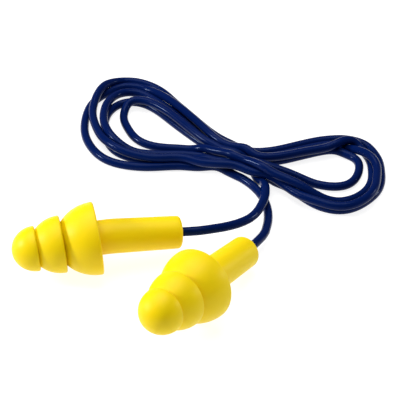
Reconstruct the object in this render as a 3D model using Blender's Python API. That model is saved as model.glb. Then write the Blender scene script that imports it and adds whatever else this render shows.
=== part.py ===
"""A pair of reusable three-flange ear plugs joined by one soft cord, laid out on a table.

Lengths are in millimetres times MM, +Z is up, and Z = 0 is the surface that everything lies on.
The origin lies on that surface, below the middle of the two plugs. Each plug is one turned
moulding: three hollow-backed flanges on a stem with a socket for the cord. The middle of the cord
is a pinched hank. Between the hank and each stem the cord bends about two pivots, so each end has
a lead, which stays with the hank, a link between the pivots, and a tail, which stays in the plug.
"""

import math

import bmesh
import bpy
from mathutils import Matrix, Vector

MM = 0.001

# Plug: distances along its axis from the tip, and radii.
RIM_X = (4.15 * MM, 8.6 * MM, 14.65 * MM)
RIM_R = (3.92 * MM, 4.98 * MM, 6.35 * MM)
DOME_LENGTH = (RIM_X[0], 5.5 * MM, 7.1 * MM)
ARC_STEPS = 7
LIP = 0.8 * MM
LIP_BULGE = 0.28 * MM
STEM_ROOT_R = 3.03 * MM
HOLLOW_DEPTH = (1.0 * MM, 1.3 * MM, 3.0 * MM)
STEM_END_R = 2.87 * MM
STEM_END_X = 29.4 * MM
STEM_EDGE = 0.65 * MM
SOCKET_R = 1.12 * MM
SOCKET_DEPTH = 8.0 * MM
SOCKET_CHAMFER = 0.3 * MM
NECK_START_X = RIM_X[2] + 0.25 * MM
NECK_LENGTH = 3.0 * MM
PLUG_SEGMENTS = 28

# Where each plug lies: the centre of its largest rim, its heading, how much its axis rises towards
# the stem, and how its neck droops. It balances on its largest rim, and the cord steadies it.
LEFT_RIM_XY = (-6.75 * MM, 8.7 * MM)
LEFT_HEADING = math.radians(11.8)
LEFT_LEAN = math.radians(2.5)
LEFT_DROOP = math.radians(8.0)
RIGHT_RIM_XY = (10.87 * MM, -2.88 * MM)
RIGHT_HEADING = math.radians(55.6)
RIGHT_LEAN = math.radians(-12.0)

# Cord.
CORD_R = 0.82 * MM
CORD_STEP = 3.4 * MM
CORD_IN_SOCKET = 6.5 * MM
STRAIGHT_OUT = 1.6 * MM
SWING_FROM_MOUTH = 12.5 * MM
LIFT_FROM_MOUTH = 4.5 * MM
PIVOT_GAP = 0.45 * MM
HANK_HEIGHT = 3.0 * MM

# Route of each cord end, in mm, from the side of the hank to just short of the stem's mouth.
LEFT_ROUTE = (
    (22.9, 30.1, 1.45),
    (23.05, 28.1, 2.3),
    (23.05, 26.4, 2.7),
    (22.9, 24.6, 2.8),
    (22.45, 22.82, 2.8),
    (21.5, 20.3, 2.9),
    (20.15, 18.08, 3.1),
    (18.15, 16.1, 3.55),
    (15.8, 14.4, 4.15),
    (13.3, 13.05, 4.75),
    (11.0, 12.15, 5.1),
)
RIGHT_ROUTE = (
    (16.6, 33.95, 0.82),
    (19.0, 32.1, 0.82),
    (20.95, 29.8, 0.82),
    (22.35, 27.25, 0.82),
    (23.05, 24.9, 0.84),
    (23.4, 22.5, 0.9),
    (23.35, 20.0, 1.1),
    (23.0, 17.5, 1.45),
    (22.25, 14.7, 1.85),
)

# Outline of the hank and of the two gaps in it, in mm, counter-clockwise.
HANK_OUTLINE = (
    (-1.5, 34.3), (5, 34.8), (12, 35.3), (17, 35.3), (20.5, 33.4), (23.8, 31.2), (29.3, 25.5),
    (35.9, 21.6), (40, 22.5), (43.2, 25.6), (45.6, 31.5), (45, 38.2), (42.4, 43.2), (37.3, 45.7),
    (30.4, 43.7), (27, 41.8), (23.5, 41.2), (20.6, 41.5), (17.9, 43), (14, 46.6), (11, 50.5),
    (5, 58.3), (0.8, 63.5), (-4.4, 65.8), (-9.2, 62.6), (-12.2, 55.8), (-12.9, 48.3), (-10.4, 40),
    (-6.6, 36.1),
)
HANK_LEFT_GAP = (
    (8.9, 43.4), (4, 50.4), (0, 54.6), (-1.9, 55.2), (-3, 52.3), (-2.3, 47.8), (-0.2, 44.6),
    (3.6, 43.1),
)
HANK_RIGHT_GAP = (
    (26.8, 35.8), (31, 38.6), (36.7, 40.7), (40, 38.6), (40.8, 35.8), (39.3, 32.4), (35.5, 30),
    (31, 31.9),
)

PLUG_YELLOW = (0.87, 0.70, 0.015)
PLUG_ROUGHNESS = 0.45
CORD_NAVY = (0.006, 0.018, 0.085)
CORD_ROUGHNESS = 0.25


def clear_scene():
    for obj in list(bpy.data.objects):
        bpy.data.objects.remove(obj)


def make_material(name, colour, roughness):
    material = bpy.data.materials.new(name)
    material.use_nodes = True
    shader = material.node_tree.nodes["Principled BSDF"]
    shader.inputs["Base Color"].default_value = (*colour, 1.0)
    shader.inputs["Roughness"].default_value = roughness
    shader.inputs["Metallic"].default_value = 0.0
    return material


def make_empty(name, point, parent=None):
    empty = bpy.data.objects.new(name, None)
    empty.empty_display_size = 3 * MM
    bpy.context.collection.objects.link(empty)
    attach(empty, point, parent)
    return empty


def attach(obj, point, parent):
    """Put obj's origin at a world point, under a parent empty if there is one."""
    obj.location = point
    if parent is not None:
        bpy.context.view_layer.update()
        obj.parent = parent
        obj.location = Vector(point) - parent.matrix_world.translation


def dome(i):
    """The outer face of flange i, the part of a quarter ellipse that starts at the rim before."""
    gap = RIM_X[i] - (RIM_X[i - 1] if i else 0.0)
    start = math.acos(min(gap / DOME_LENGTH[i], 1.0))
    points = []
    for step in range(ARC_STEPS + 1):
        angle = start + (math.pi / 2 - start) * step / ARC_STEPS
        x = RIM_X[i] - DOME_LENGTH[i] * math.cos(angle)
        points.append((x, RIM_R[i] * math.sin(angle)))
    return points


def rounded_lip(x, r):
    """The free edge of a flange, from just behind its outer corner to its inner corner."""
    points = []
    for degrees in (35, 90, 145):
        angle = math.radians(degrees)
        points.append((x + LIP_BULGE * math.sin(angle), r - LIP / 2 * (1 - math.cos(angle))))
    points.append((x, r - LIP))
    return points


def hollow(x, depth, outer_r, inner_r):
    """The hollow behind a flange, half an ellipse from the flange's wall to the core."""
    points = []
    for degrees in (25, 60, 100, 155):
        angle = math.radians(degrees)
        r = (outer_r + inner_r) / 2 + (outer_r - inner_r) / 2 * math.cos(angle)
        points.append((x - depth * math.sin(angle), r))
    return points


def plug_profile():
    """The moulding's outline as (distance from tip, radius), from the tip to the socket's floor."""
    profile = []
    domes = [dome(i) for i in range(len(RIM_X))]
    core_r = [points[0][1] for points in domes[1:]] + [STEM_ROOT_R]
    for i, (x, r) in enumerate(zip(RIM_X, RIM_R)):
        profile += domes[i]
        profile += rounded_lip(x, r)
        profile += hollow(x, HOLLOW_DEPTH[i], r - LIP, core_r[i])
    profile.append((NECK_START_X, STEM_ROOT_R))
    profile.append((NECK_START_X + NECK_LENGTH / 2, STEM_ROOT_R))
    profile.append((NECK_START_X + NECK_LENGTH, STEM_ROOT_R))
    for degrees in (0, 30, 60, 90):
        angle = math.radians(degrees)
        x = STEM_END_X - STEM_EDGE * (1 - math.sin(angle))
        profile.append((x, STEM_END_R - STEM_EDGE * (1 - math.cos(angle))))
    profile.append((STEM_END_X, SOCKET_R + SOCKET_CHAMFER))
    profile.append((STEM_END_X - SOCKET_CHAMFER, SOCKET_R))
    profile.append((STEM_END_X - SOCKET_DEPTH, SOCKET_R))
    profile.append((STEM_END_X - SOCKET_DEPTH - SOCKET_R / 2, 0.0))
    return profile


def neck_frame(x, droop):
    """Where the axis is at distance x from the tip, and which way it runs, in the plug's frame.

    The frame's X runs along the flanges and its origin is the centre of the largest rim. The
    stem droops towards -Z, in an arc along the neck.
    """
    turned = droop * min(max((x - NECK_START_X) / NECK_LENGTH, 0.0), 1.0)
    centre = Vector((min(x, NECK_START_X) - RIM_X[2], 0.0, 0.0))
    if x > NECK_START_X:
        along = min(x - NECK_START_X, NECK_LENGTH)
        chord = along if turned < 1e-6 else 2 * along / turned * math.sin(turned / 2)
        centre += chord * Vector((math.cos(turned / 2), 0.0, -math.sin(turned / 2)))
        beyond = max(x - NECK_START_X - NECK_LENGTH, 0.0)
        centre += beyond * Vector((math.cos(turned), 0.0, -math.sin(turned)))
    return centre, Vector((math.cos(turned), 0.0, -math.sin(turned)))


def plug_mesh(name, droop):
    mesh = bpy.data.meshes.new(name)
    bm = bmesh.new()
    rings = []
    for x, r in plug_profile():
        centre, along = neck_frame(x, droop)
        side = Vector((0.0, 1.0, 0.0))
        up = along.cross(side)
        if r == 0.0:
            rings.append([bm.verts.new(centre)])
            continue
        ring = []
        for k in range(PLUG_SEGMENTS):
            angle = 2 * math.pi * k / PLUG_SEGMENTS
            ring.append(bm.verts.new(centre + r * (math.sin(angle) * side - math.cos(angle) * up)))
        rings.append(ring)
    for ring, following in zip(rings, rings[1:]):
        for k in range(PLUG_SEGMENTS):
            after = (k + 1) % PLUG_SEGMENTS
            if len(ring) == 1:
                bm.faces.new((ring[0], following[k], following[after]))
            elif len(following) == 1:
                bm.faces.new((ring[k], following[0], ring[after]))
            else:
                bm.faces.new((ring[k], following[k], following[after], ring[after]))
    bmesh.ops.recalc_face_normals(bm, faces=bm.faces)
    bm.to_mesh(mesh)
    bm.free()
    mesh.shade_smooth()
    mesh.set_sharp_from_angle(angle=math.radians(40))
    return mesh


def plug_pose(rim_xy, heading, lean):
    """World matrix of a plug that lies on the table with its axis rising by lean to the stem."""
    reach = [r * math.cos(lean) - (x - RIM_X[2]) * math.sin(lean) for x, r in plug_profile()]
    centre = Vector((*rim_xy, max(reach)))
    turn = Matrix.Rotation(heading, 4, "Z") @ Matrix.Rotation(-lean, 4, "Y")
    return Matrix.Translation(centre) @ turn


def socket_points(pose, droop):
    """The socket's axis in the world: the cord's inner end, the middle, the mouth, just outside."""
    points = []
    for back in (CORD_IN_SOCKET, CORD_IN_SOCKET / 2, 0.0, -STRAIGHT_OUT):
        centre, _ = neck_frame(STEM_END_X - back, droop)
        points.append(pose @ centre)
    return points


def smooth_curve(points, samples=24):
    """Points along the Catmull-Rom curve through the given points."""
    ends = [2 * points[0] - points[1], *points, 2 * points[-1] - points[-2]]
    curve = []
    for a, b, c, d in zip(ends, ends[1:], ends[2:], ends[3:]):
        for i in range(samples):
            t = i / samples
            bend = (2 * a - 5 * b + 4 * c - d) * t * t + (3 * b - a - 3 * c + d) * t ** 3
            curve.append(b + ((c - a) * t + bend) / 2)
    curve.append(points[-1])
    return curve


def lengths_along(curve):
    """The distance along the curve at each of its points."""
    lengths = [0.0]
    for a, b in zip(curve, curve[1:]):
        lengths.append(lengths[-1] + (b - a).length)
    return lengths


def point_at(curve, lengths, distance):
    for i in range(1, len(curve)):
        if lengths[i] >= distance:
            share = (distance - lengths[i - 1]) / (lengths[i] - lengths[i - 1])
            return curve[i - 1].lerp(curve[i], share)
    return curve[-1]


def cord_tube(name, curve, start, end, origin, parent, material):
    """A solid tube along the curve between two distances, with its origin at a pivot."""
    lengths = lengths_along(curve)
    steps = max(1, round((end - start) / CORD_STEP))
    data = bpy.data.curves.new(name, "CURVE")
    data.dimensions = "3D"
    data.bevel_depth = CORD_R
    data.bevel_resolution = 2
    data.use_fill_caps = True
    spline = data.splines.new("POLY")
    spline.points.add(steps)
    for i, point in enumerate(spline.points):
        place = point_at(curve, lengths, start + (end - start) * i / steps)
        point.co = (*(place - Vector(origin)), 1.0)
    data.materials.append(material)
    obj = bpy.data.objects.new(name, data)
    bpy.context.collection.objects.link(obj)
    attach(obj, origin, parent)
    return obj


def closed_outline(points, samples=3):
    """A smooth closed outline in mm through the given corners, as world points on the table."""
    corners = [Vector((*point, 0.0)) * MM for point in points]
    outline = []
    count = len(corners)
    for i in range(count):
        a, b, c, d = (corners[(i + k - 1) % count] for k in range(4))
        for j in range(samples):
            t = j / samples
            bend = (2 * a - 5 * b + 4 * c - d) * t * t + (3 * b - a - 3 * c + d) * t ** 3
            outline.append(b + ((c - a) * t + bend) / 2)
    return outline


def make_hank(material):
    """The coiled middle of the cord as one slab of its outline, open through both loops."""
    data = bpy.data.curves.new("cord_hank", "CURVE")
    data.dimensions = "2D"
    data.fill_mode = "BOTH"
    data.extrude = HANK_HEIGHT / 2
    for points in (HANK_OUTLINE, HANK_LEFT_GAP, HANK_RIGHT_GAP):
        outline = closed_outline(points)
        spline = data.splines.new("POLY")
        spline.points.add(len(outline) - 1)
        spline.use_cyclic_u = True
        for point, place in zip(spline.points, outline):
            point.co = (*place, 1.0)
    data.materials.append(material)
    hank = bpy.data.objects.new("cord_hank", data)
    bpy.context.collection.objects.link(hank)
    attach(hank, (0.0, 0.0, HANK_HEIGHT / 2), None)
    return hank


def make_end(side, rim_xy, heading, lean, droop, route, plug_material, cord_material):
    """One plug with its end of the cord, hung on the two pivots that the cord bends about."""
    pose = plug_pose(rim_xy, heading, lean)
    inner, middle, mouth, outside = socket_points(pose, droop)
    points = [Vector(point) * MM for point in route] + [outside, mouth, middle, inner]
    curve = smooth_curve(points)
    lengths = lengths_along(curve)
    at_mouth = lengths[-1] - CORD_IN_SOCKET
    at_swing = at_mouth - SWING_FROM_MOUTH
    at_lift = at_mouth - LIFT_FROM_MOUTH
    swing = make_empty(side + "_swing_axis", point_at(curve, lengths, at_swing))
    lift = make_empty(side + "_lift_axis", point_at(curve, lengths, at_lift), swing)
    bpy.context.view_layer.update()
    swing_point = swing.matrix_world.translation.copy()
    lift_point = lift.matrix_world.translation.copy()

    plug = bpy.data.objects.new("ear_plug_" + side, plug_mesh("ear_plug_" + side, droop))
    plug.data.materials.append(plug_material)
    plug.data.transform(Matrix.Translation(-lift_point) @ pose)
    bpy.context.collection.objects.link(plug)
    attach(plug, lift_point, lift)

    cord_tube("cord_lead_" + side, curve, 0.0, at_swing - PIVOT_GAP, swing_point, None,
              cord_material)
    cord_tube("cord_link_" + side, curve, at_swing + PIVOT_GAP, at_lift - PIVOT_GAP, swing_point,
              swing, cord_material)
    cord_tube("cord_tail_" + side, curve, at_lift + PIVOT_GAP, lengths[-1], lift_point, lift,
              cord_material)


def main():
    clear_scene()
    plug_material = make_material("plug_elastomer", PLUG_YELLOW, PLUG_ROUGHNESS)
    cord_material = make_material("cord_vinyl", CORD_NAVY, CORD_ROUGHNESS)
    make_hank(cord_material)
    make_end("left", LEFT_RIM_XY, LEFT_HEADING, LEFT_LEAN, LEFT_DROOP, LEFT_ROUTE,
             plug_material, cord_material)
    make_end("right", RIGHT_RIM_XY, RIGHT_HEADING, RIGHT_LEAN, 0.0, RIGHT_ROUTE,
             plug_material, cord_material)


main()
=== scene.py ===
import math

import bmesh
import bpy
import numpy as np
from mathutils import Matrix, Vector


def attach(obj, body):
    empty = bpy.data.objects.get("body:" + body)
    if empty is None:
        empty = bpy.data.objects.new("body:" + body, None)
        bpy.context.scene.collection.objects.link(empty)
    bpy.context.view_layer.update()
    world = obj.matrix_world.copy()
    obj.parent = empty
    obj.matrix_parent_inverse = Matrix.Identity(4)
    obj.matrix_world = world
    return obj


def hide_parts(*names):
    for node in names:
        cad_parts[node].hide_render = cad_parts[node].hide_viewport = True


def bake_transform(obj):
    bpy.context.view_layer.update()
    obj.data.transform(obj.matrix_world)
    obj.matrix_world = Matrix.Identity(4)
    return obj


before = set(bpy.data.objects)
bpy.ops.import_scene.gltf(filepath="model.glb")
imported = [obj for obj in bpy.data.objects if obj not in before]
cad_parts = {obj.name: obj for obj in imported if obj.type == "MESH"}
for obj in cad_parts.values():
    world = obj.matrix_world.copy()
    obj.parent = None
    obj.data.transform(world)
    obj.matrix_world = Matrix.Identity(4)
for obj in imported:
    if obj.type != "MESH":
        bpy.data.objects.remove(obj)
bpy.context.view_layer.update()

MM = 0.001

# Camera: the direction it looks from, how far off it is, and the point it looks at.
VIEW_ELEVATION = math.radians(39.34)
VIEW_DISTANCE = 262.8 * MM
VIEW_WIDTH = math.radians(16.0)
VIEW_TARGET = (11.05 * MM, 26.8 * MM, 0.0)
# How far a point seems to move away along Y, as the camera sees it, for each bit that it is raised.
SLANT = 1 / math.tan(VIEW_ELEVATION)

# Plug: distances along its axis from the tip, and radii, as in the part.
RIM_X = (4.15 * MM, 8.6 * MM, 14.65 * MM)
RIM_R = (3.92 * MM, 4.98 * MM, 6.35 * MM)
DOME_LENGTH = (RIM_X[0], 5.5 * MM, 7.1 * MM)
LIP = 0.8 * MM
LIP_BULGE = 0.28 * MM
STEM_ROOT_R = 3.03 * MM
HOLLOW_DEPTH = (1.0 * MM, 1.3 * MM, 3.0 * MM)
STEM_END_R = 2.87 * MM
STEM_END_X = 29.4 * MM
STEM_EDGE = 0.65 * MM
SOCKET_DEPTH = 8.0 * MM
NECK_START_X = RIM_X[2] + 0.25 * MM
NECK_LENGTH = 3.0 * MM

# Finer steps than the part's, and a socket that grips the cord.
DOME_STEPS = 26
LIP_STEPS = 10
HOLLOW_STEPS = 18
NECK_STEPS = 10
STEM_STEPS = 14
EDGE_STEPS = 7
PLUG_SEGMENTS = 112
SOCKET_LIP = 0.22 * MM
SOCKET_ROOM = 0.03 * MM

# Where each plug lies: the centre of its largest rim, its heading, how much its axis rises towards
# the stem, and how its neck droops. It balances on its largest rim, and the cord steadies it.
LEFT_RIM_XY = (-6.75 * MM, 8.7 * MM)
LEFT_HEADING = math.radians(11.8)
LEFT_LEAN = math.radians(2.5)
LEFT_DROOP = math.radians(8.0)
RIGHT_RIM_XY = (10.87 * MM, -2.88 * MM)
RIGHT_HEADING = math.radians(55.6)
RIGHT_LEAN = math.radians(-12.0)

# Cord. LOW is the height in mm of its line where it lies on the table, which is its radius.
LOW = 0.82
CORD_R = LOW * MM
CORD_SIDES = 18
RING_STEP = 0.6 * MM
CORD_IN_SOCKET = 6.5 * MM
STRAIGHT_OUT = 1.6 * MM
SWING_FROM_MOUTH = 12.5 * MM
LIFT_FROM_MOUTH = 4.5 * MM
SWING_BEND = 3.5 * MM
LIFT_BEND = 2.5 * MM
LEAD_LENGTH = 32 * MM

# Route of each cord end, in mm, from the side of the coil to just short of the stem's mouth.
LEFT_ROUTE = (
    (22.75, 30.5, 1.35),
    (23.05, 28.1, 2.3),
    (23.05, 26.4, 2.7),
    (22.9, 24.6, 2.8),
    (22.45, 22.82, 2.8),
    (21.5, 20.3, 2.9),
    (20.15, 18.08, 3.1),
    (18.15, 16.1, 3.55),
    (15.8, 14.4, 4.15),
    (13.3, 13.05, 4.75),
    (11.0, 12.15, 5.1),
)
RIGHT_ROUTE = (
    (16.6, 33.95, LOW),
    (19.0, 32.1, LOW),
    (20.95, 29.8, LOW),
    (22.35, 27.25, LOW),
    (23.05, 24.9, 0.84),
    (23.4, 22.5, 0.9),
    (23.35, 20.0, 1.1),
    (23.0, 17.5, 1.45),
    (22.25, 14.7, 1.85),
)
# From the left route's start, under the bundle that crosses the waist, to the first turn.
UNDER_WAIST = ((21.7, 33.3, LOW), (20.0, 36.2, LOW), (17.2, 39.2, LOW))

# The coil, in mm. The LOOPs are the middle of its bundle, counter-clockwise from the waist: first
# round the left loop, then round the right one. A turn of the cord runs beside it, and the TURNS
# say how far outwards it is at each place, and how high. A place is where the camera sees it on
# a plane at the height LANE_PLANE. The first turn starts one place later, where UNDER_WAIST ends.
LANE_PLANE = 1.0
LEFT_LOOP = (
    (20, 39), (14, 43), (9, 48.5), (4, 55), (-0.5, 59.6), (-4.6, 60.9), (-7.4, 59.1),
    (-8.6, 55.5), (-8.8, 51), (-7.3, 45.5), (-4, 41), (1.5, 38.8), (8, 38.5), (15, 37.6),
)
RIGHT_LOOP = (
    (21, 35.6), (27, 32), (32, 28.3), (37, 26.3), (41.3, 28.5), (43.3, 33.5), (43.2, 39),
    (40, 43), (35.5, 43), (30, 41), (25, 39.2),
)
LEFT_TURNS = (
    ((None, -2.0, -1.8, -2.1, -3.2, -5.5, -4.8, -2.4, -1.2, 0.0, 1.4, 1.7, 1.4, 1.3),
     (None, LOW, LOW, LOW, LOW, LOW, LOW, LOW, LOW, LOW, LOW, LOW, LOW, 2.2)),
    ((1.0, 1.4, 2.1, 2.4, 3.0, 3.3, 2.0, 1.5, 1.1, 0.6, 0.2, 0.3, 0.3, 0.3),
     (LOW, LOW, LOW, LOW, LOW, 1.2, 2.1, 2.2, 2.2, 2.2, 2.2, 2.1, 2.1, 2.8)),
    ((-0.3, 0.0, 0.4, 0.3, 0.0, -1.0, -1.4, -1.3, -1.0, -0.7, -0.6, -0.6, -0.8, -1.1),
     (LOW, LOW, LOW, LOW, 1.2, 1.6, 2.0, 2.2, 2.2, 2.2, 1.6, 0.8, 0.8, 2.4)),
    ((-1.7, -0.9, -0.6, -0.8, -2.3, -5.4, -6.3, -5.2, -4.5, -4.9, -4.2, -3.1, -2.6, -2.6),
     (LOW, 2.0, 2.1, 2.1, 2.2, 2.2, 1.8, 1.3, 0.9, LOW, LOW, LOW, LOW, 2.6)),
    ((0.2, 1.0, 1.8, 1.9, 1.7, 1.2, 0.9, 1.9, 2.8, 3.9, 4.4, 3.5, 2.2, 1.8),
     (2.2, 2.2, 2.1, 2.0, 1.2, LOW, LOW, LOW, LOW, LOW, LOW, LOW, LOW, LOW)),
)
RIGHT_TURNS = (
    ((1.5, 2.5, 3.5, 4.0, 2.4, 1.7, 1.3, 1.1, 0.8, 0.9, 0.9),
     (2.0, 1.5, LOW, LOW, LOW, LOW, LOW, LOW, LOW, LOW, LOW)),
    ((0.5, 1.3, 2.1, 2.4, 1.4, 0.9, 0.0, -1.8, -0.8, -0.5, -0.3),
     (2.8, 2.2, 2.0, 1.9, 2.1, 2.1, 2.1, 1.9, LOW, LOW, LOW)),
    ((-1.3, -1.8, -2.1, -3.2, -2.8, -2.5, -2.3, -2.1, -2.2, -2.0, -2.0),
     (2.8, 2.0, 0.9, LOW, LOW, LOW, LOW, LOW, LOW, LOW, LOW)),
    ((-0.6, 0.2, 0.9, 1.2, 0.6, 0.2, -0.3, -0.3, -1.2, -0.9, -0.6),
     (3.6, 3.2, 2.4, 0.9, 0.9, 0.8, 0.8, 0.8, 1.7, 2.1, 2.2)),
)

# How the cord settles on its lanes, in three stages. In each round a point goes back by the shares
# pull and lift of the way to its lane, across and upwards, sinks by sink metres, and loses the
# share stiffness of its bend. It is kept clear of the cord within reach of it, other than the skip
# points before and after it: where two strands overlap, each gives way by PUSH_SHARE of that.
ROUGH_STEP = 1.6 * MM
FINE_STEP = 0.8 * MM
SETTLE_ROUGHLY = {
    "rounds": 400, "pull": 0.02, "lift": 0.02, "sink": 0.002 * MM, "stiffness": 0.09,
    "skip": 3, "reach": 3.5 * MM,
}
SETTLE_FINELY = {
    "rounds": 200, "pull": 0.01, "lift": 0.008, "sink": 0.002 * MM, "stiffness": 0.06,
    "skip": 6, "reach": 3 * MM,
}
SETTLE_AT_LAST = {
    "rounds": 60, "pull": 0.0, "lift": 0.0, "sink": 0.001 * MM, "stiffness": 0.02,
    "skip": 6, "reach": 3 * MM,
}
ROUNDS_PER_SEARCH = 15
PUSH_SHARE = 0.4
CURVE_STEPS = 24

# Edges sharper than this stay sharp.
SMOOTH_ANGLE = math.radians(50)

# Materials. Each roughness runs from the first value to the second.
PLUG_YELLOW = (0.9, 0.66, 0.0)
PLUG_ROUGHNESS = (0.38, 0.5)
PLUG_GRAIN_DEPTH = 0.02 * MM
CORD_NAVY = (0.0007, 0.0078, 0.068)
CORD_ROUGHNESS = (0.14, 0.22)
CORD_SHEEN = (0.45, 0.62, 1.0, 1.0)
CORD_LINE_DEPTH = 0.01 * MM

# Studio: each softbox's name, place and size in metres, and power in watts.
WHITE = (1.0, 1.0, 1.0, 1.0)
SKY_STRENGTH = 0.15
SOFTBOXES = (
    ("softbox_top", (-0.05, 0.12, 0.42), 0.4, 1.9),
    ("softbox_left", (-0.42, 0.02, 0.2), 0.08, 1.6),
    ("softbox_right", (0.42, 0.12, 0.14), 0.06, 0.4),
)
FLOOR_GREY = (0.35, 0.35, 0.35)
FLOOR_GLOW = 0.86
FLOOR_REACH = 1.5
FLOOR_DROP = 0.02 * MM


# --- plugs ---


def dome(i):
    """The outer face of flange i, the part of a quarter ellipse that starts at the rim before."""
    gap = RIM_X[i] - (RIM_X[i - 1] if i else 0.0)
    start = math.acos(min(gap / DOME_LENGTH[i], 1.0))
    points = []
    for step in range(DOME_STEPS + 1):
        angle = start + (math.pi / 2 - start) * step / DOME_STEPS
        x = RIM_X[i] - DOME_LENGTH[i] * math.cos(angle)
        points.append((x, RIM_R[i] * math.sin(angle)))
    return points


def rounded_lip(x, r):
    """The free edge of a flange, from just behind its outer corner to its inner corner."""
    points = []
    for i in range(1, LIP_STEPS + 1):
        angle = math.pi * i / LIP_STEPS
        points.append((x + LIP_BULGE * math.sin(angle), r - LIP / 2 * (1 - math.cos(angle))))
    return points


def hollow(x, depth, outer_r, inner_r):
    """The hollow behind a flange, half an ellipse from the flange's wall to the core."""
    points = []
    for i in range(1, HOLLOW_STEPS):
        angle = math.pi * i / HOLLOW_STEPS
        r = (outer_r + inner_r) / 2 + (outer_r - inner_r) / 2 * math.cos(angle)
        points.append((x - depth * math.sin(angle), r))
    return points


def plug_profile():
    """The moulding's outline as (distance from tip, radius), from the tip to the socket's floor."""
    profile = []
    domes = [dome(i) for i in range(len(RIM_X))]
    core_r = [points[0][1] for points in domes[1:]] + [STEM_ROOT_R]
    for i, (x, r) in enumerate(zip(RIM_X, RIM_R)):
        profile += domes[i]
        profile += rounded_lip(x, r)
        profile += hollow(x, HOLLOW_DEPTH[i], r - LIP, core_r[i])
    for i in range(NECK_STEPS + 1):
        profile.append((NECK_START_X + NECK_LENGTH * i / NECK_STEPS, STEM_ROOT_R))
    neck_end = profile[-1][0]
    for i in range(1, STEM_STEPS):
        share = i / STEM_STEPS
        x = neck_end + (STEM_END_X - STEM_EDGE - neck_end) * share
        profile.append((x, STEM_ROOT_R + (STEM_END_R - STEM_ROOT_R) * share))
    for i in range(EDGE_STEPS + 1):
        angle = math.pi / 2 * i / EDGE_STEPS
        x = STEM_END_X - STEM_EDGE * (1 - math.sin(angle))
        profile.append((x, STEM_END_R - STEM_EDGE * (1 - math.cos(angle))))
    socket_r = CORD_R + SOCKET_ROOM
    for i in range(EDGE_STEPS + 1):
        angle = math.pi / 2 * i / EDGE_STEPS
        x = STEM_END_X - SOCKET_LIP * (1 - math.cos(angle))
        profile.append((x, socket_r + SOCKET_LIP * (1 - math.sin(angle))))
    profile.append((STEM_END_X - SOCKET_DEPTH, socket_r))
    profile.append((STEM_END_X - SOCKET_DEPTH - socket_r / 2, 0.0))
    return profile


def neck_frame(x, droop):
    """Where the axis is at distance x from the tip, and which way it runs, in the plug's frame.

    The frame's X runs along the flanges and its origin is the centre of the largest rim. The
    stem droops towards -Z, in an arc along the neck.
    """
    turned = droop * min(max((x - NECK_START_X) / NECK_LENGTH, 0.0), 1.0)
    centre = Vector((min(x, NECK_START_X) - RIM_X[2], 0.0, 0.0))
    if x > NECK_START_X:
        along = min(x - NECK_START_X, NECK_LENGTH)
        chord = along if turned < 1e-6 else 2 * along / turned * math.sin(turned / 2)
        centre += chord * Vector((math.cos(turned / 2), 0.0, -math.sin(turned / 2)))
        beyond = max(x - NECK_START_X - NECK_LENGTH, 0.0)
        centre += beyond * Vector((math.cos(turned), 0.0, -math.sin(turned)))
    return centre, Vector((math.cos(turned), 0.0, -math.sin(turned)))


def plug_pose(rim_xy, heading, lean):
    """World matrix of a plug that lies on the table with its axis rising by lean to the stem."""
    reach = [r * math.cos(lean) - (x - RIM_X[2]) * math.sin(lean) for x, r in plug_profile()]
    centre = Vector((*rim_xy, max(reach)))
    turn = Matrix.Rotation(heading, 4, "Z") @ Matrix.Rotation(-lean, 4, "Y")
    return Matrix.Translation(centre) @ turn


def make_plug(side, pose, droop, material):
    bm = bmesh.new()
    side_way = Vector((0.0, 1.0, 0.0))
    rings = []
    for x, r in plug_profile():
        centre, along = neck_frame(x, droop)
        up = along.cross(side_way)
        if r == 0.0:
            rings.append([bm.verts.new(centre)])
            continue
        ring = []
        for k in range(PLUG_SEGMENTS):
            angle = 2 * math.pi * k / PLUG_SEGMENTS
            offset = math.sin(angle) * side_way - math.cos(angle) * up
            ring.append(bm.verts.new(centre + r * offset))
        rings.append(ring)
    for ring, following in zip(rings, rings[1:]):
        for k in range(PLUG_SEGMENTS):
            after = (k + 1) % PLUG_SEGMENTS
            if len(ring) == 1:
                bm.faces.new((ring[0], following[k], following[after]))
            elif len(following) == 1:
                bm.faces.new((ring[k], following[0], ring[after]))
            else:
                bm.faces.new((ring[k], following[k], following[after], ring[after]))
    bmesh.ops.recalc_face_normals(bm, faces=bm.faces)
    mesh = bpy.data.meshes.new("plug_skin_" + side)
    bm.to_mesh(mesh)
    bm.free()
    mesh.transform(pose)
    mesh.shade_smooth()
    mesh.set_sharp_from_angle(angle=SMOOTH_ANGLE)
    mesh.materials.append(material)
    plug = bpy.data.objects.new("plug_skin_" + side, mesh)
    bpy.context.scene.collection.objects.link(plug)
    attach(plug, side + "_plug")
    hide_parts("ear_plug_" + side)


def socket_points(pose, droop):
    """The socket's axis in the world: the cord's inner end, the middle, the mouth, just outside."""
    points = []
    for back in (CORD_IN_SOCKET, CORD_IN_SOCKET / 2, 0.0, -STRAIGHT_OUT):
        centre, _ = neck_frame(STEM_END_X - back, droop)
        points.append(tuple(pose @ centre))
    return points


# --- cord ---


def catmull_rom(points, step):
    """Points about step apart on the smooth curve through the given ones, and where each lies.

    A place is a point's number plus the share of the way to the next one.
    """
    points = np.asarray(points, float)
    ends = np.vstack([2 * points[0] - points[1], points, 2 * points[-1] - points[-2]])
    share = np.linspace(0, 1, CURVE_STEPS, endpoint=False)[:, None]
    curve = []
    places = []
    for i in range(len(points) - 1):
        a, b, c, d = ends[i:i + 4]
        bend = (2 * a - 5 * b + 4 * c - d) * share ** 2 + (3 * b - a - 3 * c + d) * share ** 3
        curve.append(b + ((c - a) * share + bend) / 2)
        places.extend(i + share[:, 0])
    curve = np.vstack(curve + [points[-1:]])
    return resample(curve, np.array(places + [len(points) - 1.0]), step)


def lengths_along(line):
    """How far along the line each of its points is."""
    return np.concatenate([[0], np.cumsum(np.linalg.norm(np.diff(line, axis=0), axis=1))])


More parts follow.
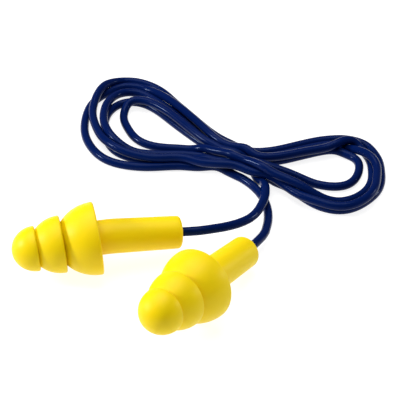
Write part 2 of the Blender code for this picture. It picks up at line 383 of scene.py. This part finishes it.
def resample(line, places, step):
    """The line again with points about step apart, and each new point's place."""
    along = lengths_along(line)
    at = np.linspace(0, along[-1], int(round(along[-1] / step)) + 1)
    fine = np.stack([np.interp(at, along, line[:, k]) for k in range(3)], axis=1)
    return fine, np.interp(at, along, places)


def coil_stations():
    """The cord's line as (point, held) from plug to plug, in metres, before it settles.

    A point that is held stays where it is.
    """
    loop = np.array(LEFT_LOOP + RIGHT_LOOP, float)
    ahead = np.roll(loop, -1, axis=0) - np.roll(loop, 1, axis=0)
    ahead /= np.linalg.norm(ahead, axis=1)[:, None]
    outward = np.stack([ahead[:, 1], -ahead[:, 0]], axis=1)
    stations = []

    def lay(turn, first):
        for k, (offset, height) in enumerate(zip(*turn)):
            if offset is None:
                continue
            x, y = loop[first + k] + offset * outward[first + k]
            stations.append(((x, y - SLANT * (height - LANE_PLANE), height), False))

    stations += [(point, True) for point in reversed(LEFT_ROUTE)]
    stations += [(point, False) for point in UNDER_WAIST]
    for i, turn in enumerate(LEFT_TURNS):
        lay(turn, 0)
        if i < len(RIGHT_TURNS):
            lay(RIGHT_TURNS[i], len(LEFT_LOOP))
    stations += [(point, True) for point in RIGHT_ROUTE]
    return [(tuple(v * MM for v in point), held) for point, held in stations]


def relax(line, lanes, free, rounds, pull, lift, sink, stiffness, skip, reach):
    """Pushes the cord out of itself while it keeps to its lanes, bends smoothly and lies down.

    Only the free points move. The other arguments are explained at SETTLE_ROUGHLY.
    """
    line = line.copy()
    seen_y = lanes[:, 1] + SLANT * lanes[:, 2]
    touch = 2 * CORD_R
    count = len(line)
    for round_done in range(rounds):
        if round_done % ROUNDS_PER_SEARCH == 0:
            apart = ((line[:, None, :] - line[None, :, :]) ** 2).sum(-1)
            i, j = np.where(apart < reach ** 2)
            near = (j < count - 1) & (np.abs(i - j) > skip)
            i, j = i[near], j[near]
        line[free, 0] += pull * (lanes[:, 0] - line[:, 0])[free]
        line[free, 1] += pull * (seen_y - SLANT * line[:, 2] - line[:, 1])[free]
        line[free, 2] += lift * (lanes[:, 2] - line[:, 2])[free] - sink
        # The fourth difference of the line, which is nothing where it runs straight or bends evenly.
        bend = np.zeros_like(line)
        bend[2:-2] = line[:-4] - 4 * line[1:-3] + 6 * line[2:-2] - 4 * line[3:-1] + line[4:]
        line[free] -= stiffness * bend[free]
        start = line[j]
        along = line[j + 1] - start
        share = ((line[i] - start) * along).sum(1) / np.maximum((along ** 2).sum(1), 1e-15)
        share = np.clip(share, 0, 1)
        gap = line[i] - start - share[:, None] * along
        far = np.linalg.norm(gap, axis=1)
        hit = far < touch
        if hit.any():
            i_hit, j_hit, t = i[hit], j[hit], share[hit]
            parts = (
                (i_hit, np.ones_like(t), 1),
                (j_hit, 1 - t, -1),
                (j_hit + 1, t, -1),
            )
            push = ((touch - far[hit]) / np.maximum(far[hit], 1e-9))[:, None] * gap[hit]
            move = np.zeros_like(line)
            weight = np.zeros(count)
            for index, part, sign in parts:
                np.add.at(move, index, sign * push * part[:, None])
                np.add.at(weight, index, part)
            line[free] += (PUSH_SHARE * move / np.maximum(weight, 1)[:, None])[free]
        line[:, 2] = np.maximum(line[:, 2], CORD_R)
    return line


def settled_line(left_socket, right_socket):
    """The cord's line from the inner end of one socket to that of the other."""
    stations = [(point, True) for point in left_socket]
    stations += coil_stations()
    stations += [(point, True) for point in reversed(right_socket)]
    held = np.array([is_held for _, is_held in stations])

    def free(places):
        """Which places aren't between two held points."""
        before = np.floor(places + 1e-6).astype(int).clip(0, len(held) - 1)
        after = np.ceil(places - 1e-6).astype(int).clip(0, len(held) - 1)
        return ~(held[before] & held[after])

    lanes, places = catmull_rom([point for point, _ in stations], ROUGH_STEP)
    line = relax(lanes, lanes, free(places), **SETTLE_ROUGHLY)
    fine, fine_places = resample(line, places, FINE_STEP)
    fine_lanes = np.stack(
        [np.interp(fine_places, places, lanes[:, k]) for k in range(3)], axis=1)
    loose = free(fine_places)
    fine = relax(fine, fine_lanes, loose, **SETTLE_FINELY)
    fine = relax(fine, fine_lanes, loose, **SETTLE_AT_LAST)
    return catmull_rom(fine, RING_STEP)[0]


def ring_frames(line):
    """Two directions across the line at each point, turning as little as they can along it."""
    ahead = np.gradient(line, axis=0)
    ahead /= np.linalg.norm(ahead, axis=1)[:, None]
    side = np.cross(ahead[0], (0.0, 0.0, 1.0))
    sides = []
    for way in ahead:
        side = side - (side @ way) * way
        side = side / np.linalg.norm(side)
        sides.append(side)
    sides = np.array(sides)
    return sides, np.cross(ahead, sides)


def make_tube(name, line, frames, first, last, material):
    """The stretch of the cord from ring first to ring last, closed at both ends."""
    sides, ups = frames
    bm = bmesh.new()
    uv = bm.loops.layers.uv.new("UVMap")
    along = lengths_along(line)
    rings = []
    for i in range(first, last + 1):
        ring = []
        for k in range(CORD_SIDES):
            angle = 2 * math.pi * k / CORD_SIDES
            spoke = math.cos(angle) * sides[i] + math.sin(angle) * ups[i]
            ring.append(bm.verts.new(line[i] + CORD_R * spoke))
        rings.append(ring)
    for i in range(len(rings) - 1):
        for k in range(CORD_SIDES):
            after = (k + 1) % CORD_SIDES
            # Each corner's ring and column, and how far round it is, which goes on past the seam.
            corners = ((i, k, k), (i, after, k + 1), (i + 1, after, k + 1), (i + 1, k, k))
            face = bm.faces.new([rings[row][column] for row, column, _ in corners])
            for loop, (row, _, turn) in zip(face.loops, corners):
                loop[uv].uv = (along[first + row] / (2 * math.pi * CORD_R), turn / CORD_SIDES)
    bm.faces.new(rings[0][::-1])
    bm.faces.new(rings[-1])
    bmesh.ops.recalc_face_normals(bm, faces=bm.faces)
    mesh = bpy.data.meshes.new(name)
    bm.to_mesh(mesh)
    bm.free()
    mesh.shade_smooth()
    mesh.set_sharp_from_angle(angle=SMOOTH_ANGLE)
    mesh.materials.append(material)
    tube = bpy.data.objects.new(name, mesh)
    bpy.context.scene.collection.objects.link(tube)
    return tube


def make_cord(left_socket, right_socket, material):
    """The whole cord: the coil, and at each end a lead and a tail."""
    line = settled_line(left_socket, right_socket)
    frames = ring_frames(line)
    along = lengths_along(line)

    def ring_at(side, before_mouth):
        distance = CORD_IN_SOCKET + before_mouth
        return int(np.argmin(abs(along - (distance if side == "left" else along[-1] - distance))))

    seam = LIFT_FROM_MOUTH + LIFT_BEND
    coil_start = ring_at("left", seam + LEAD_LENGTH)
    coil_end = ring_at("right", seam + LEAD_LENGTH)
    coil = make_tube("cord_coil", line, frames, coil_start, coil_end, material)
    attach(coil, "cord")
    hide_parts("cord_hank")
    for side in ("left", "right"):
        lead_rings = sorted((ring_at(side, seam), ring_at(side, seam + LEAD_LENGTH)))
        tail_rings = sorted((ring_at(side, seam), 0 if side == "left" else len(line) - 1))
        lead = make_tube("cord_lead_skin_" + side, line, frames, *lead_rings, material)
        tail = make_tube("cord_tail_skin_" + side, line, frames, *tail_rings, material)
        bends = (
            (lead, "cord", side + "_link", SWING_FROM_MOUTH, SWING_BEND),
            (tail, side + "_link", side + "_plug", LIFT_FROM_MOUTH, LIFT_BEND),
        )
        for piece, near, far, pivot, half in bends:
            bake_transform(piece)
        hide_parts("cord_lead_" + side, "cord_link_" + side)
        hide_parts("cord_tail_" + side)
    print("cord from end to end, mm:", round(along[-1] / MM, 1))


# --- materials, light and camera ---


def principled(name, colour, roughness):
    material = bpy.data.materials.new(name)
    material.use_nodes = True
    shader = material.node_tree.nodes["Principled BSDF"]
    shader.inputs["Base Color"].default_value = (*colour, 1.0)
    shader.inputs["Roughness"].default_value = roughness
    return material, shader


def add_noise(material, coordinates, scale, stretch, detail):
    """A noise texture on the named coordinates, each first multiplied by its stretch."""
    nodes = material.node_tree.nodes
    links = material.node_tree.links
    place = nodes.new("ShaderNodeTexCoord")
    mapping = nodes.new("ShaderNodeMapping")
    mapping.inputs["Scale"].default_value = stretch
    noise = nodes.new("ShaderNodeTexNoise")
    noise.inputs["Scale"].default_value = scale
    noise.inputs["Detail"].default_value = detail
    links.new(place.outputs[coordinates], mapping.inputs["Vector"])
    links.new(mapping.outputs["Vector"], noise.inputs["Vector"])
    return noise


def vary_roughness(material, shader, noise, low, high):
    """Lets the noise, which is mostly between 0.3 and 0.7, run the roughness from low to high."""
    nodes = material.node_tree.nodes
    links = material.node_tree.links
    spread = nodes.new("ShaderNodeMapRange")
    spread.inputs["From Min"].default_value = 0.3
    spread.inputs["From Max"].default_value = 0.7
    spread.inputs["To Min"].default_value = low
    spread.inputs["To Max"].default_value = high
    links.new(noise.outputs["Fac"], spread.inputs["Value"])
    links.new(spread.outputs["Result"], shader.inputs["Roughness"])


def add_bump(material, shader, noise, depth, strength):
    """Lets the noise raise and sink the surface, by depth metres at full strength."""
    nodes = material.node_tree.nodes
    links = material.node_tree.links
    bump = nodes.new("ShaderNodeBump")
    bump.inputs["Distance"].default_value = depth
    bump.inputs["Strength"].default_value = strength
    links.new(noise.outputs["Fac"], bump.inputs["Height"])
    links.new(bump.outputs["Normal"], shader.inputs["Normal"])


def plug_material():
    """Satin elastomer, slightly translucent, with the fine grain of a moulded surface."""
    material, shader = principled("plug_elastomer_skin", PLUG_YELLOW, roughness=0.42)
    shader.inputs["Subsurface Weight"].default_value = 0.15
    shader.inputs["Subsurface Radius"].default_value = (1.0, 0.7, 0.1)
    shader.inputs["Subsurface Scale"].default_value = 1.2 * MM
    shader.inputs["Specular IOR Level"].default_value = 0.18
    grain = add_noise(material, "Object", scale=2600, stretch=(1, 1, 1), detail=3)
    add_bump(material, shader, grain, PLUG_GRAIN_DEPTH, strength=0.35)
    patches = add_noise(material, "Object", scale=260, stretch=(1, 1, 1), detail=2)
    vary_roughness(material, shader, patches, *PLUG_ROUGHNESS)
    return material


def cord_material():
    """Glossy vinyl with faint lines along it from the extruder."""
    material, shader = principled("cord_vinyl_skin", CORD_NAVY, roughness=0.18)
    shader.inputs["Specular IOR Level"].default_value = 0.08
    shader.inputs["Specular Tint"].default_value = CORD_SHEEN
    lines = add_noise(material, "UV", scale=5, stretch=(0.12, 4, 1), detail=2)
    add_bump(material, shader, lines, CORD_LINE_DEPTH, strength=0.2)
    patches = add_noise(material, "Object", scale=300, stretch=(1, 1, 1), detail=2)
    vary_roughness(material, shader, patches, *CORD_ROUGHNESS)
    return material


def make_camera():
    target = Vector(VIEW_TARGET)
    back = Vector((0.0, -math.cos(VIEW_ELEVATION), math.sin(VIEW_ELEVATION)))
    data = bpy.data.cameras.new("camera")
    data.lens = data.sensor_width / 2 / math.tan(VIEW_WIDTH / 2)
    data.clip_start = 0.01
    camera = bpy.data.objects.new("camera", data)
    camera.location = target + VIEW_DISTANCE * back
    camera.rotation_mode = "QUATERNION"
    camera.rotation_quaternion = (-back).to_track_quat("-Z", "Y")
    bpy.context.scene.collection.objects.link(camera)
    bpy.context.scene.camera = camera


def make_softbox(name, place, size, power):
    """A square area light of that size at that place, facing the object."""
    data = bpy.data.lights.new(name, "AREA")
    data.size = size
    data.energy = power
    light = bpy.data.objects.new(name, data)
    light.location = place
    aim = Vector(VIEW_TARGET) - Vector(place)
    light.rotation_mode = "QUATERNION"
    light.rotation_quaternion = aim.to_track_quat("-Z", "Y")
    bpy.context.scene.collection.objects.link(light)


def make_floor():
    """A plain floor that glows a little, so that it stays pale under the object."""
    material, shader = principled("studio_floor", FLOOR_GREY, roughness=0.9)
    shader.inputs["Specular IOR Level"].default_value = 0.0
    shader.inputs["Emission Color"].default_value = WHITE
    shader.inputs["Emission Strength"].default_value = FLOOR_GLOW
    data = bpy.data.meshes.new("studio_floor")
    corners = [
        (x * FLOOR_REACH, y * FLOOR_REACH, 0) for x, y in ((-1, -1), (1, -1), (1, 1), (-1, 1))
    ]
    data.from_pydata(corners, [], [(0, 1, 2, 3)])
    data.materials.append(material)
    floor = bpy.data.objects.new("studio_floor", data)
    floor.location.z = -FLOOR_DROP
    bpy.context.scene.collection.objects.link(floor)


def make_studio():
    bpy.context.scene.view_settings.view_transform = "Standard"
    world = bpy.data.worlds.new("studio")
    bpy.context.scene.world = world
    world.use_nodes = True
    sky = world.node_tree.nodes["Background"]
    sky.inputs["Color"].default_value = WHITE
    sky.inputs["Strength"].default_value = SKY_STRENGTH
    for softbox in SOFTBOXES:
        make_softbox(*softbox)
    make_floor()


def main():
    make_camera()
    left_pose = plug_pose(LEFT_RIM_XY, LEFT_HEADING, LEFT_LEAN)
    right_pose = plug_pose(RIGHT_RIM_XY, RIGHT_HEADING, RIGHT_LEAN)
    left_socket = socket_points(left_pose, LEFT_DROOP)
    right_socket = socket_points(right_pose, 0.0)
    make_cord(left_socket, right_socket, cord_material())
    elastomer = plug_material()
    make_plug("left", left_pose, LEFT_DROOP, elastomer)
    make_plug("right", right_pose, 0.0, elastomer)
    make_studio()


main()
